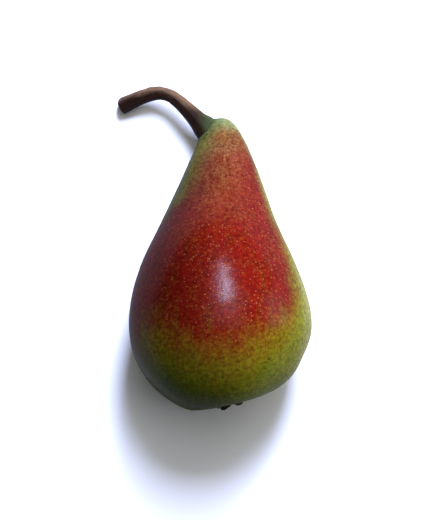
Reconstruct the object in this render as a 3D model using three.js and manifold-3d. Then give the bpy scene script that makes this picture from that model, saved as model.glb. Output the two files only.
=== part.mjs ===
// A pear lying on its side: the fruit, its woody stem and the dried remains of the flower.
// Millimetres, +Z up. The neck points along +Y and the stem bends towards -X.
// The origin is on the surface that the pear lies on, in the middle of the small flat spot under its belly.

import * as THREE from "three";
import { mergeVertices } from "three/addons/utils/BufferGeometryUtils.js";
import Module from "manifold-3d";

const wasm = await Module();
wasm.setup();

// Fruit: a core line from the blossom end to the stem end, bent as the fruit grew.
const CORE = new THREE.CubicBezierCurve3(
  new THREE.Vector3(4.1, -28.6, 32.4),
  new THREE.Vector3(-4.0, 3.9, 34.6),
  new THREE.Vector3(1.5, 36.9, 18.4),
  new THREE.Vector3(0.9, 69.9, 3.6),
);
// The neck's end rises from the core line, with the square of the distance from the lift's start.
const NECK_LIFT = { height: 4.5, start: 84, end: 104 };
// Outline of the fruit: places along the core line, and the radius there.
// It starts at the floor of the basin, turns over the basin's rim and ends on the core line again.
const OUTLINE = [
  [4.5, 0], [2.6, 4.5], [1.5, 9.5], [2.2, 16.5], [9.5, 24.8], [19, 30],
  [28.5, 31], [38, 29.5], [48, 26.3], [58, 22], [68, 18], [78, 14.5],
  [88, 11], [94.5, 8.5], [99.8, 5.8], [103.2, 3], [104.4, 0],
];
const ROWS_PER_STATION = 3;
const FRUIT_COLUMNS = 60;
const FULL_SHOULDER = { height: 1.2, place: 4.6, reach: 4.6, angle: 0, spread: 0.6 };
const FLAT_SHOULDER = { height: -0.2, place: 5, reach: 5, angle: Math.PI, spread: 0.7 };
const CREST = { height: 1.0, place: 52, reach: 12, angle: Math.PI / 2 + 0.2, spread: 0.5 };
const COLLAR = { height: 1.5, place: 100.5, reach: 4, angle: 0.7 * Math.PI, spread: 0.6 };
const LOBES = 5;
const LOBE_HEIGHT = 0.25;
const LOBE_PLACE = 6;
const LOBE_REACH = 9;
const LOBE_TURN = 0.4;

// Stem: its middle line from the tip to the root inside the neck, with the radius at each place.
const STEM = [
  { at: [-34.9, 74.7, 3.2], radius: 2.6 },
  { at: [-33.4, 75.4, 3.8], radius: 2.8 },
  { at: [-30.6, 76.6, 5.0], radius: 2.6 },
  { at: [-27.2, 77.9, 6.3], radius: 2.45 },
  { at: [-23.8, 78.7, 7.4], radius: 2.3 },
  { at: [-20.4, 78.8, 8.3], radius: 2.2 },
  { at: [-17.1, 77.7, 9.2], radius: 2.2 },
  { at: [-14.1, 75.5, 9.8], radius: 2.35 },
  { at: [-11.0, 72.6, 10.4], radius: 2.7 },
  { at: [-7.9, 69.4, 10.3], radius: 3.3 },
  { at: [-5.1, 66.6, 9.6], radius: 4.4 },
  { at: [-2.8, 64.0, 8.6], radius: 3.9 },
  { at: [-1.0, 61.9, 7.6], radius: 2.6 },
];
const STEM_ROWS_PER_STATION = 2;
const STEM_COLUMNS = 20;
const STEM_TIP_DISH = 0.5;
const STEM_ROOT_POINT = 1;
const STEM_RIBS = 5;
const STEM_RIB_HEIGHT = 0.09;
const STEM_KNOB = { station: 2.7, reach: 0.45, height: 0.55, angle: 1.2, spread: 0.6 };

// Dried flower remains: a low cup set in the basin, five sepals and a few stamens.
const CUP_RADIUS = 3.4;
const CUP_BOTTOM = -1.2;
const CUP_TOP = 1.6;
const CUP_BORE = 2.3;
const CUP_FLOOR = -0.2;
const CUP_EDGE = 0.3;
const CUP_COLUMNS = 30;
const SEPAL_LENGTHS = [0.90, 0.94, 0.9, 0.88, 0.8];
const SEPAL_FIRST_ANGLE = Math.PI / 2 - 0.68;
const SEPAL_WIDTH = 4.8;
const SEPAL_THICKNESS = 0.9;
const SEPAL_LINE = [[2.7, 0.3], [3.0, 1.9], [3.3, 3.3], [3.7, 4.6], [4.3, 5.5], [5.1, 6.0]];
const SEPAL_COLUMNS = 8;
const SEPAL_CUPPING = 0.5;
const SEPAL_TAPER = 0.55;
const STAMENS = 9;
const STAMEN_RADIUS = 0.35;
const STAMEN_REACH = 4.2;
const STAMEN_ROOT_RADIUS = 1.5;
const STAMEN_TIP_RADIUS = 2.2;
const STAMEN_SIDES = 6;
const STAMEN_SHORTER = 0.5;

// Room left between two pieces that touch on the real fruit.
const GAP = 0.3;
const FLOOR_CUT = { width: 200, depth: 20 };

const COLOURS = { fruit: 0x9a3f2a, stem: 0x4a3430, calyx: 0x2a1a14 };

// Closed surface through rings of equal length, each running anticlockwise as the next ring sees it.
// The first and last ring are closed by one point each.
function loft(start, rings, end) {
  const count = rings[0].length;
  const points = [start, ...rings.flat(), end];
  const faces = [];
  for (let j = 0; j < count; j += 1) {
    const k = (j + 1) % count;
    faces.push(0, 1 + k, 1 + j);
    for (let i = 0; i + 1 < rings.length; i += 1) {
      const near = 1 + i * count;
      const far = near + count;
      faces.push(near + j, near + k, far + k);
      faces.push(near + j, far + k, far + j);
    }
    const last = 1 + (rings.length - 1) * count;
    faces.push(last + j, last + k, points.length - 1);
  }
  const positions = points.flatMap((point) => point.toArray());
  const geometry = new THREE.BufferGeometry();
  geometry.setAttribute("position", new THREE.Float32BufferAttribute(positions, 3));
  geometry.setIndex(faces);
  return geometry;
}

// Closed body for joining and cutting.
function solidFrom(geometry) {
  const bare = geometry.clone();
  bare.deleteAttribute("normal");
  bare.deleteAttribute("uv");
  const merged = mergeVertices(bare, 1e-5);
  return new wasm.Manifold(new wasm.Mesh({
    numProp: 3,
    vertProperties: new Float32Array(merged.attributes.position.array),
    triVerts: new Uint32Array(merged.index.array),
  }));
}

function geometryFrom(solid) {
  const mesh = solid.getMesh();
  const geometry = new THREE.BufferGeometry();
  geometry.setAttribute("position", new THREE.BufferAttribute(mesh.vertProperties, 3));
  geometry.setIndex(new THREE.BufferAttribute(mesh.triVerts, 1));
  geometry.computeVertexNormals();
  return geometry;
}

function bump(value, place, reach) {
  return Math.exp(-(((value - place) / reach) ** 2));
}

// Difference of two angles, brought to -pi to pi.
function turnBetween(a, b) {
  return Math.atan2(Math.sin(a - b), Math.cos(a - b));
}

// Point of the core line, its direction, and the two directions across it, at a distance from its start.
// Past either end the line runs on straight, but for the lift.
function corePlace(distance) {
  const length = CORE.getLength();
  const share = THREE.MathUtils.clamp(distance / length, 0, 1);
  const along = CORE.getTangentAt(share);
  const point = CORE.getPointAt(share).addScaledVector(along, distance - share * length);
  const reach = NECK_LIFT.end - NECK_LIFT.start;
  const past = Math.max(0, distance - NECK_LIFT.start) / reach;
  point.z += NECK_LIFT.height * past ** 2;
  along.z += (NECK_LIFT.height * 2 * past) / reach;
  along.normalize();
  const side = new THREE.Vector3().crossVectors(along, new THREE.Vector3(0, 0, 1)).normalize();
  const top = new THREE.Vector3().crossVectors(side, along);
  return { point, along, side, top };
}

// Swelling of the fruit at a place and an angle: a full and a flat shoulder at the base, a low crest on
// the upper side, a collar beside the stem, and soft lobes.
function swelling(distance, angle) {
  const raised = (form) => form.height * bump(distance, form.place, form.reach)
    * bump(turnBetween(angle, form.angle), 0, form.spread);
  const wave = Math.cos(LOBES * angle + LOBE_TURN);
  const lobe = LOBE_HEIGHT * wave * bump(distance, LOBE_PLACE, LOBE_REACH);
  return [FULL_SHOULDER, FLAT_SHOULDER, CREST, COLLAR].reduce((sum, form) => sum + raised(form), lobe);
}

function fruitBody() {
  const [first, last] = [OUTLINE[0], OUTLINE.at(-1)];
  const mirrored = (station) => new THREE.Vector2(station[0], -station[1]);
  const curve = new THREE.SplineCurve([
    mirrored(OUTLINE[1]),
    ...OUTLINE.map((station) => new THREE.Vector2(...station)),
    mirrored(OUTLINE.at(-2)),
  ]);
  const spans = OUTLINE.length + 1;
  const rings = [];
  for (let row = 1; row < (OUTLINE.length - 1) * ROWS_PER_STATION; row += 1) {
    const station = curve.getPoint((1 + row / ROWS_PER_STATION) / spans);
    const { point, side, top } = corePlace(station.x);
    const fade = Math.min(1, station.y / OUTLINE[2][1]);
    rings.push(Array.from({ length: FRUIT_COLUMNS }, (_, column) => {
      const angle = -(column / FRUIT_COLUMNS) * 2 * Math.PI;
      const radius = station.y + fade * swelling(station.x, angle);
      return point.clone()
        .addScaledVector(side, radius * Math.cos(angle))
        .addScaledVector(top, radius * Math.sin(angle));
    }));
  }
  return loft(corePlace(first[0]).point, rings, corePlace(last[0]).point);
}

// Stem as a swept body, or the room for it when it is grown by an amount all round.
function stemBody(grown) {
  const line = new THREE.CatmullRomCurve3(STEM.map((station) => new THREE.Vector3(...station.at)));
  const radii = new THREE.SplineCurve(STEM.map((station, k) => new THREE.Vector2(k, station.radius)));
  const rows = (STEM.length - 1) * STEM_ROWS_PER_STATION;
  const frames = line.computeFrenetFrames(rows, false);
  const rings = [];
  for (let row = 0; row <= rows; row += 1) {
    const centre = line.getPointAt(row / rows);
    const share = line.getUtoTmapping(row / rows);
    const station = share * (STEM.length - 1);
    const radius = radii.getPoint(share).y + grown;
    rings.push(Array.from({ length: STEM_COLUMNS }, (_, column) => {
      const angle = (column / STEM_COLUMNS) * 2 * Math.PI;
      const rib = STEM_RIB_HEIGHT * Math.cos(STEM_RIBS * angle);
      const knob = STEM_KNOB.height * bump(station, STEM_KNOB.station, STEM_KNOB.reach)
        * bump(turnBetween(angle, STEM_KNOB.angle), 0, STEM_KNOB.spread);
      return centre.clone()
        .addScaledVector(frames.normals[row], (radius + rib + knob) * Math.cos(angle))
        .addScaledVector(frames.binormals[row], (radius + rib + knob) * Math.sin(angle));
    }));
  }
  const tip = line.getPointAt(0).addScaledVector(frames.tangents[0], grown > 0 ? -grown : STEM_TIP_DISH);
  const root = line.getPointAt(1).addScaledVector(frames.tangents[rows], STEM_ROOT_POINT + grown);
  return loft(tip, rings, root);
}

// A turned body with its axis along +Z, from its half outline of radius and height.
function turned(outline) {
  const points = outline.map(([radius, height]) => new THREE.Vector2(radius, height));
  return new THREE.LatheGeometry(points, CUP_COLUMNS).rotateX(Math.PI / 2);
}

function calyxCup() {
  const rim = (CUP_RADIUS + CUP_BORE) / 2;
  return turned([
    [0, CUP_BOTTOM], [CUP_RADIUS - CUP_EDGE, CUP_BOTTOM], [CUP_RADIUS, CUP_BOTTOM + CUP_EDGE],
    [CUP_RADIUS, CUP_TOP - CUP_EDGE], [rim, CUP_TOP], [CUP_BORE, CUP_TOP - CUP_EDGE],
    [CUP_BORE, CUP_FLOOR], [0, CUP_FLOOR],
  ]);
}

// One sepal standing on the cup's rim: a thin cupped blade that narrows to its tip and curls outwards.
// Its length is a share of the sepal line, measured from the line's foot.
function sepal(angle, length) {
  const outward = new THREE.Vector3(Math.cos(angle), Math.sin(angle), 0);
  const across = new THREE.Vector3(-Math.sin(angle), Math.cos(angle), 0);
  const up = new THREE.Vector3(0, 0, 1);
  const foot = SEPAL_LINE[0];
  const line = SEPAL_LINE.map((place) => place.map((value, k) => foot[k] + length * (value - foot[k])));
  const rings = line.map(([reach, height], row) => {
    const share = row / (line.length - 1);
    const half = (SEPAL_WIDTH / 2) * Math.sqrt(1 - SEPAL_TAPER * share * share);
    return Array.from({ length: SEPAL_COLUMNS }, (_, column) => {
      const turn = -(column / SEPAL_COLUMNS) * 2 * Math.PI;
      const over = Math.cos(turn) * half;
      const through = Math.sin(turn) * (SEPAL_THICKNESS / 2) - SEPAL_CUPPING * (over / half) ** 2;
      return new THREE.Vector3()
        .addScaledVector(outward, reach + through)
        .addScaledVector(across, over)
        .addScaledVector(up, height);
    });
  });
  const middle = ([reach, height]) => outward.clone().multiplyScalar(reach).addScaledVector(up, height);
  return loft(middle(line[0]), rings, middle(line.at(-1)));
}

// One stamen: a thin rod that leans outwards from the floor of the cup. Every third one is the longest.
function stamen(index) {
  const angle = (index / STAMENS) * 2 * Math.PI;
  const height = STAMEN_REACH - STAMEN_SHORTER * (index % 3);
  const outward = new THREE.Vector3(Math.cos(angle), Math.sin(angle), 0);
  const around = (radius, level) => outward.clone().multiplyScalar(radius).setZ(level);
  const foot = around(STAMEN_ROOT_RADIUS, CUP_BOTTOM / 2);
  const tip = around(STAMEN_TIP_RADIUS, height);
  const rod = new THREE.CylinderGeometry(STAMEN_RADIUS, STAMEN_RADIUS, foot.distanceTo(tip), STAMEN_SIDES);
  const lean = tip.clone().sub(foot).normalize();
  rod.applyQuaternion(new THREE.Quaternion().setFromUnitVectors(new THREE.Vector3(0, 1, 0), lean));
  return rod.translate(...foot.lerp(tip, 0.5).toArray());
}

// Turns and moves a body from its own frame, +Z out of the basin, to the blossom end of the fruit.
function toBlossomEnd() {
  const { point, along, side, top } = corePlace(OUTLINE[0][0]);
  const outward = along.clone().negate();
  return new THREE.Matrix4().makeBasis(side, top, outward).setPosition(point);
}

function calyxSolid() {
  let solid = solidFrom(calyxCup());
  SEPAL_LENGTHS.forEach((length, k) => {
    const angle = SEPAL_FIRST_ANGLE + (k / SEPAL_LENGTHS.length) * 2 * Math.PI;
    solid = solid.add(solidFrom(sepal(angle, length)));
  });
  for (let k = 0; k < STAMENS; k += 1) {
    solid = solid.add(solidFrom(stamen(k)));
  }
  return solid;
}

// Room for the cup in the floor of the basin, open towards the outside.
function calyxRoom() {
  const reach = CUP_RADIUS + GAP;
  const floor = CUP_BOTTOM - GAP;
  const mouth = CUP_TOP + CUP_RADIUS;
  return turned([[0, floor], [reach, floor], [reach, mouth], [0, mouth]]);
}

function fruitSolid() {
  const below = new THREE.BoxGeometry(FLOOR_CUT.width, FLOOR_CUT.width, FLOOR_CUT.depth);
  below.translate(0, 0, -FLOOR_CUT.depth / 2);
  return solidFrom(fruitBody())
    .subtract(solidFrom(below))
    .subtract(solidFrom(stemBody(GAP)))
    .subtract(solidFrom(calyxRoom().applyMatrix4(toBlossomEnd())));
}

function piece(name, geometry, roughness) {
  const material = new THREE.MeshStandardMaterial({ color: COLOURS[name], roughness, metalness: 0 });
  const mesh = new THREE.Mesh(geometry, material);
  mesh.name = name;
  return mesh;
}

const pear = new THREE.Group();
pear.add(piece("fruit", geometryFrom(fruitSolid()), 0.35));
pear.add(piece("stem", geometryFrom(solidFrom(stemBody(0))), 0.8));
pear.add(piece("calyx", geometryFrom(calyxSolid()).applyMatrix4(toBlossomEnd()), 0.9));

export default pear;
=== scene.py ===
"""A ripe pear lying on its side, laid out as a Blender add-on and run as a script.

Every piece is a surface of two parameters, worked out with numpy on a grid in metres, in the frame of the
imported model: +Z up, the neck along +Y, the stem bending towards -X, the origin on the surface below it.
"""

import math

import bpy
import numpy as np
from bpy.props import FloatProperty, FloatVectorProperty, IntProperty, PointerProperty
from bpy.types import Operator, Panel, PropertyGroup
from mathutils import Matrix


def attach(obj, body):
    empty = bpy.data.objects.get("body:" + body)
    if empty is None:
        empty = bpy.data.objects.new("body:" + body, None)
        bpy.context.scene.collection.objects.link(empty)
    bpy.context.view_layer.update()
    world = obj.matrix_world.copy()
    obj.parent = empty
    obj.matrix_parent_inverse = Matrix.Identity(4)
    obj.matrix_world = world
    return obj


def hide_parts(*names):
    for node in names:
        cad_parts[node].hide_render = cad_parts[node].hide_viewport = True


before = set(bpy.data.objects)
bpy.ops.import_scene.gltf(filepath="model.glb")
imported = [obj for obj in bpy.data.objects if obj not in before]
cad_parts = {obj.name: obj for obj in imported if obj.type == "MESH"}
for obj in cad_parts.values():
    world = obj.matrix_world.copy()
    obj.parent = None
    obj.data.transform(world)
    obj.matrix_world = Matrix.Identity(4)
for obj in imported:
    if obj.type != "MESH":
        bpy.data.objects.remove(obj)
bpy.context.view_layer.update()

bl_info = {
    "name": "Pear",
    "version": (1, 0, 0),
    "blender": (4, 5, 0),
    "location": "3D View > Sidebar > Pear",
    "description": "Builds a ripe pear on its side, with its stem and the dried flower remains",
    "category": "Add Mesh",
}

MM = 0.001

# The fruit's core line and outline, as the solids have them, in millimetres.
CORE = [[4.1, -28.6, 32.4], [-4.0, 3.9, 34.6], [1.5, 36.9, 18.4], [0.9, 69.9, 3.6]]
NECK_LIFT = {"height": 4.5, "start": 84, "end": 104}
OUTLINE = [
    [4.5, 0], [2.6, 4.5], [1.5, 9.5], [2.2, 16.5], [9.5, 24.8], [19, 30],
    [28.5, 31], [38, 29.5], [48, 26.3], [58, 22], [68, 18], [78, 14.5],
    [88, 11], [94.5, 8.5], [99.8, 5.8], [103.2, 3], [104.4, 0],
]
BASIN_RADIUS = OUTLINE[2][1]
FULL_SHOULDER = {"height": 1.2, "place": 4.6, "reach": 4.6, "angle": 0, "spread": 0.6}
FLAT_SHOULDER = {"height": -0.2, "place": 5, "reach": 5, "angle": math.pi, "spread": 0.7}
CREST = {"height": 1.0, "place": 52, "reach": 12, "angle": math.pi / 2 + 0.2, "spread": 0.5}
COLLAR = {"height": 1.5, "place": 100.5, "reach": 4, "angle": 0.7 * math.pi, "spread": 0.6}
LOBES = {"count": 5, "height": 0.25, "place": 6, "reach": 9, "turn": 0.4}
LINE_SAMPLES = 2001
OUTLINE_SAMPLES = 4000

# Rows of faces lie closer at the neck's end and in the basin: how much, and between which places.
CLOSER_AT_NECK = {"extra": 1.2, "from": 86, "to": 96}
CLOSER_IN_BASIN = {"extra": 0.8, "from": 8, "to": 0}

# Fine shape of the skin: soft waves, creases that run into the basin and the lip round the stem's foot.
WAVE_NOISE = {"cell": 0.016, "seed": 3, "layers": 4}
CREASE_TURNS = 4.5
CREASE_WAVER = 2.5
CREASE_NOISE = {"cell": 0.01, "seed": 8}
CREASE_LEVEL = 0.6
CREASES = {"radius": 5.5, "reach": 3.5, "end": 20}
LIP = {"from": 7.5, "to": 5.5, "reach": 1.2}

# Noises that move the borders of the skin's zones: the first layer's cell in metres, a seed and the layers.
BROAD_NOISE = {"cell": 0.014, "seed": 21, "layers": 3}
FINE_NOISE = {"cell": 0.004, "seed": 33, "layers": 3}

# Borders of the skin's zones. Each is a smooth step of the place, in millimetres along the core, or of the
# turn, the angle round it from the right side over the top. Its numbers say where the step is 0, where it is
# 1, and how far the broad and the fine noise move it.
BORDERS = {
    "blush_right": ("turn", 0.16, 0.80, 0.08, 0),
    "blush_widens": ("place", 92, 30, 0, 0),
    "blush_ends_at_neck": ("place", 104.5, 96, 1.0, 0.8),
    "blush_thins_at_neck": ("place", 94, 79, 2, 0),
    # The shade and flank borders place painted shade on the left side and painted light on the right flank.
    "shade_ends_below": ("turn", 4.5, 3.2, 0, 0),
    "shade_draws_back": ("place", 36, 62, 0, 0),
    "shade_lighter_at_basin": ("place", 34, 16, 0, 0),
    "shade_lighter_at_neck": ("place", 75, 95, 0, 0),
    "shade_of_belly": ("turn", 0.9, 1.5, 0, 0),
    "painted_flank_light_from_above": ("turn", 0.6, 0.1, 0, 0),
    "painted_flank_light_from_below": ("turn", -0.9, -0.2, 0, 0),
    "olive": ("place", 60, 88, 0, 0),
    "pale": ("place", 94, 101, 0.8, 0),
    # Borders of the painted rim light, a pale colour along the right flank.
    "painted_rim_light_from_above": ("turn", 0.60, 0.10, 0.03, 0),
    "painted_rim_light_from_below": ("turn", -0.6, 0.05, 0, 0),
    "painted_rim_light_from_basin": ("place", 0, 17, 0, 0),
    # Borders of the tan along the neck, partly the skin's own and partly a painted sheen.
    "veil_and_sheen_begins": ("place", 48, 86, 3, 0),
    "veil_and_sheen_ends": ("place", 103, 98, 0, 0),
    "rim_begins": ("place", 90, 95, 0, 0),
}

# The blush's lower edge in millimetres and its left limit in radians, the painted shade and light on the
# skin, and the reach of the green, the painted rim light, the tan with its painted sheen and the rim.
BLUSH_EDGE = {
    "place": 12.5, "right": 13.5, "left": 16, "left_most": 9, "below": 14, "above": 15,
    "broad": 1.6, "fine": 1.2,
}
BLUSH_LEFT = {"neck": 2.2, "belly": 1.25, "outside": 0.35, "inside": 0.50, "broad": 0.2, "fine": 0.06}
BLUSH_AT_NECK = {"ends": 0.7, "thins": 0.3}
# Painted shade darkens the skin's colours on the left side and at its belly; painted light lightens the right
# flank.
PAINTED_SHADE = {"from": 1.15, "full": 2.3, "drawn_back": 0.45, "broad": 0.05}
PAINTED_LIGHT_LEVELS = {"lit": 0.90, "shaded": 0.29, "basin": 0.10, "neck": 0.28, "flank": 0.12}
PAINTED_BELLY_SHADE = {"depth": 0.05, "place": 22, "reach": 9}
GREEN = {"full": 2, "none": 24, "broad": 3, "lean": 7}
# The pale right flank is painted rim light.
PAINTED_RIM_LIGHT_SHARE = 0.55
# The tan along the neck's top is partly the skin's own colour and partly a painted sheen.
VEIL_AND_SHEEN = {"turn": 1.66, "reach": 0.55, "broad": 0.1}
RIM = {"share": 0.85, "radius": 0.004, "reach": 0.0026}

# Patterns of the skin's finish. Cells are in metres, and a stretched one is longer along the core.
STREAKS = {"stretch": 0.15, "size": 0.0014, "detail": 3.0, "roughness": 0.65}
WISPS = {"stretch": 0.4, "size": 0.0032, "detail": 3.0, "roughness": 0.6}
GRAIN = {"size": 0.0012, "detail": 4.0, "roughness": 0.7}
CLOUD = {"size": 0.009, "detail": 3.0, "roughness": 0.55}
UNEVEN_BLUSH = {"streaks": 0.55, "wisps": 0.3, "grain": -0.65}
UNEVEN_TONE = {"streaks": 0.7, "grain": 2.1, "cloud": 0.35}
LEAST_TONE = 0.15
COVER = {"blush": 0.98, "none": -0.05, "full": 1.05}
TAN_STREAKS = {"grain": 0.8, "low": 0.25, "high": 0.75, "least": 0.1, "most": 0.7}
LARGE_DOTS = {"cell": 0.0017, "radius": 0.00036}
SMALL_DOTS = {"cell": 0.00095, "radius": 0.00032}
DOT_CORE = 0.3
SMALLEST_DOT = 0.15
DOT_HEIGHT = 0.6
PALE_DOT_SHARE = 0.8
DARK_DOTS = {"blush": 0.35, "share": 0.35}
SKIN_RELIEF = {"grain": 0.5, "strength": 0.6, "distance": 0.00016}
GROWN_RADIUS = 0.02

# Single dark specks on the skin, as distance along the core in millimetres and angle round it.
SPECKS = [
    [9.9, 1.61], [12.8, 0.99], [68.7, 1.96], [74.2, 2.25],
    [94.6, 2.36], [96.2, 2.29], [98.6, 0.66], [99.4, 0.86],
]
SPECK = {"radius": 0.00055, "share": 0.85}

# The stem's middle line from its tip to its root, and its radius at each of these points, in millimetres.
STEM_LINE = [
    [-34.9, 74.7, 3.2], [-33.4, 75.4, 3.8], [-30.6, 76.6, 5.0], [-27.2, 77.9, 6.3], [-23.8, 78.7, 7.4],
    [-20.4, 78.8, 8.3], [-17.1, 77.7, 9.2], [-14.1, 75.5, 9.8], [-11.0, 72.6, 10.4], [-7.9, 69.4, 10.3],
    [-5.1, 66.6, 9.6], [-2.8, 64.0, 8.6], [-1.0, 61.9, 7.6],
]
STEM_RADII = [2.6, 2.8, 2.6, 2.45, 2.3, 2.2, 2.2, 2.35, 2.7, 3.3, 4.4, 3.9, 2.6]
STEM_FOOT = 10
ROOT_SHORTER = 0.45

# Fine shape of the bark. Rings close its ends, each with its share of the radius and its depth in metres.
BARK_RADIUS = 0.0024
RIBS = {"count": 6, "twist": 90, "waver": 1.5}
RIB_NOISE = {"cell": 0.003, "seed": 5}
WRINKLE_STRETCH = 0.22
WRINKLE_NOISE = {"cell": 0.0011, "seed": 6, "layers": 3}
KNOTS = {"height": 0.00025, "level": 0.2}
KNOT_NOISE = {"cell": 0.0035, "seed": 12, "layers": 2}
TIP_RINGS = [(0, 0.0003), (0.2, 0.0002), (0.45, 0.00025), (0.72, 0.00005), (0.93, -0.00015)]
TIP_ROUGHNESS = 0.00012
TIP_NOISE = {"cell": 0.0009, "seed": 31}
ROOT_RINGS = [(0.8, 0.0004), (0.4, 0.0006), (0, 0.0007)]

# The bark's finish. Its tan share, partly wear and partly painted light, is lower between two lengths from
# the tip in metres, by an amount.
FIBRES = {"stretch": 0.18, "size": 0.0007, "detail": 4.0, "roughness": 0.65}
BARK_CLOUD = {"size": 0.004, "detail": 2.0, "roughness": 0.55}
UNEVEN_BARK = {"fibres": 1.3, "cloud": 0.8}
LESS_TAN = [(0.011, 0.003, 0.4), (0.025, 0.033, 0.85), (0.013, 0.019, -0.15)]
TAN_STEP = (-0.30, 1.35)
BARK_RELIEF = {"strength": 0.6, "distance": 0.0001}
FLESHY = {"cloud": 0.003, "below": 0.0022, "from": 0.0325, "to": 0.0385, "under": 0.75, "over": -0.1}

# The cup's outline and the sepals' line, as radius and height from the basin's floor, in millimetres.
CUP_OUTLINE = [
    [0, -1.2], [3.1, -1.2], [3.4, -0.9], [3.4, 1.3], [3.2, 1.55], [2.85, 1.6], [2.4, 1.4], [2.3, 1.2],
    [2.3, 0.9], [2.0, 0.8], [0, 0.7],
]
CUP_ROWS = 60
CUP_COLUMNS = 96
CUP_ROUGHNESS = {"height": 0.0001, "full": 0.0015}
CUP_NOISE = {"cell": 0.0012, "seed": 41, "layers": 3}
SEPAL_LINE = [[2.7, 0.3], [3.0, 1.9], [3.3, 3.3], [3.7, 4.6], [4.3, 5.5], [5.1, 6.0]]
SEPAL_LENGTHS = [0.90, 0.94, 0.9, 0.88, 0.8]
SEPAL_FIRST_ANGLE = math.pi / 2 - 0.68
SEPAL_ROWS = 40
SEPAL_COLUMNS = 44
SEPAL = {
    "half_width": 0.0024, "length": 0.006, "taper": 0.55, "ragged": 0.12, "notches": 5,
    "thinner_edge": 0.55, "curl": 0.0005, "crinkle": 0.0004, "wave": 0.0004, "droop": 0.0006,
}
SEPAL_SEED = 50
SEPAL_SEED_STEP = 7
CRINKLE_CELL = 0.0018
WAVE_CELL = 0.0015

# The stamens, in metres: where they stand and end, from the basin's middle and floor, and their shape.
STAMEN = {
    "foot_radius": 0.0015, "foot_height": -0.0006, "tip_radius": 0.0022, "tip_height": 0.0042,
    "shorter": 0.0005, "radius": 0.0002, "bow": 0.0002,
}
KNOB = {"swelling": 1.1, "place": 0.92, "reach": 0.07}
STAMEN_ROWS = 22
STAMEN_COLUMNS = 10
BLUNT_ENDS = 24
STAMEN_CROSS = (0.3, 0.8, 0.1)
DRY_FIBRES = {"size": 0.0006, "detail": 4.0, "roughness": 0.7}
DRY_STEP = (0.35, 0.75)
DRY_RELIEF = {"strength": 0.5, "distance": 0.0001}

# The camera of the photograph: right above the pear, looking straight down, in metres.
CAMERA_PLACE = (-0.00078, 0.01997, 0.6)
PHOTO_HEIGHT_PX = 520
FOCAL_LENGTH_PX = 1674
SENSOR = 36
NEAREST_SEEN = 0.01

# The lights, aimed at the pear's middle: one like a window, a large one above and one low on the right.
LIGHT_TARGET = (0, 0.01, 0.03)
WINDOW_LIGHT = {
    "direction": (0.18, 0.82, 1.0), "distance": 1.0, "width": 0.22, "height": 0.42,
    "colour": (0.70, 0.79, 1.15),
}
CEILING_LIGHT = {
    "direction": (0.15, 0.45, 1.0), "distance": 1.0, "width": 0.8, "height": 0.8, "colour": (1, 1, 1),
}
SIDE_LIGHT = {
    "direction": (1.0, 0.25, 0.25), "distance": 0.8, "width": 0.4, "height": 0.4, "colour": (1, 1, 1),
}
FLOOR_HALF_WIDTH = 1.5
FLOOR_LEVEL = -0.00002

# The lattice noise: how a corner's place and the seed are turned into a number that looks random.
HASH_WAY = (127.1, 311.7, 74.7)
HASH_SEED_STEP = 17.3
HASH_SCALE = 43758.5453


def tint(name, description, default):
    """A colour as a setting."""
    return FloatVectorProperty(
        name=name, description=description, default=default, subtype="COLOR", min=0, max=1,
    )


def small_length(name, description, default):
    """A length as a setting."""
    return FloatProperty(name=name, description=description, default=default, subtype="DISTANCE")


class FruitSettings(PropertyGroup):
    """Sizes and colours of the fruit."""

    rows: IntProperty(name="Rows", description="Rows of faces from basin to neck", default=290, min=40)
    columns: IntProperty(name="Columns", description="Faces round the fruit", default=328, min=24)
    waves: small_length("Waves", "Height of the soft unevenness of the skin", 0.00016)
    puckers: small_length("Puckers", "Height of the creases that run into the basin", 0.00030)
    lip: small_length("Lip", "Height of the fleshy lip round the stem", 0.0006)
    gloss: FloatProperty(name="Gloss", description="Weight of the waxy coat", default=0.12, min=0, max=1)
    dullness: FloatProperty(name="Dullness", description="Roughness of the waxy coat", default=0.20,
                            min=0, max=1)
    red: tint("Red", "Colour of the blush", (0.136, 0.0050, 0.0024))
    yellow: tint("Yellow green", "Ground colour of the ripe skin", (0.158, 0.154, 0.005))
    green: tint("Green", "Ground colour beside the basin", (0.080, 0.097, 0.004))
    olive: tint("Olive", "Ground colour of the neck", (0.155, 0.140, 0.028))
    pale: tint("Pale green", "Ground colour beside the stem", (0.20, 0.215, 0.075))
    # A pale colour painted along the right flank as rim light.
    painted_rim_light: tint("Painted rim light", "Colour of the pale right flank", (0.33, 0.31, 0.14))
    # Partly the skin's own tan and partly a painted sheen along the neck.
    tan: tint("Tan", "Colour of the veil along the neck", (0.175, 0.080, 0.024))
    rim: tint("Green rim", "Colour beside the stem's foot", (0.080, 0.110, 0.030))
    dots: tint("Dots", "Colour of the fine dots on the blush", (0.36, 0.15, 0.036))
    dark_dots: tint("Dark dots", "Colour of the dots beside the blush", (0.04, 0.045, 0.004))
    speck: tint("Specks", "Colour of the single dark specks", (0.022, 0.018, 0.003))


class StemSettings(PropertyGroup):
    """Sizes and colours of the stem."""

    rows: IntProperty(name="Rows", description="Rows of faces along the stem", default=280, min=30)
    columns: IntProperty(name="Columns", description="Faces round the stem", default=96, min=12)
    ribs: small_length("Ribs", "Height of the ridges along the stem", 0.00012)
    wrinkles: small_length("Wrinkles", "Height of the fine wrinkles of the bark", 0.00010)
    bark: tint("Bark", "Colour of the dark bark", (0.014, 0.0060, 0.0036))
    # Pale bark: partly wear and partly painted light along the stem's upper side.
    worn_and_lit: tint("Worn and lit bark", "Colour of the pale, worn bark", (0.165, 0.094, 0.050))
    fleshy: tint("Fleshy foot", "Dark green where the stem meets the neck", (0.030, 0.038, 0.012))
    # Pale green of the foot: partly its own and partly painted light on its upper side.
    fleshy_worn_and_lit: tint("Pale foot", "Pale green where the stem meets the neck", (0.105, 0.110, 0.050))


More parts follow.
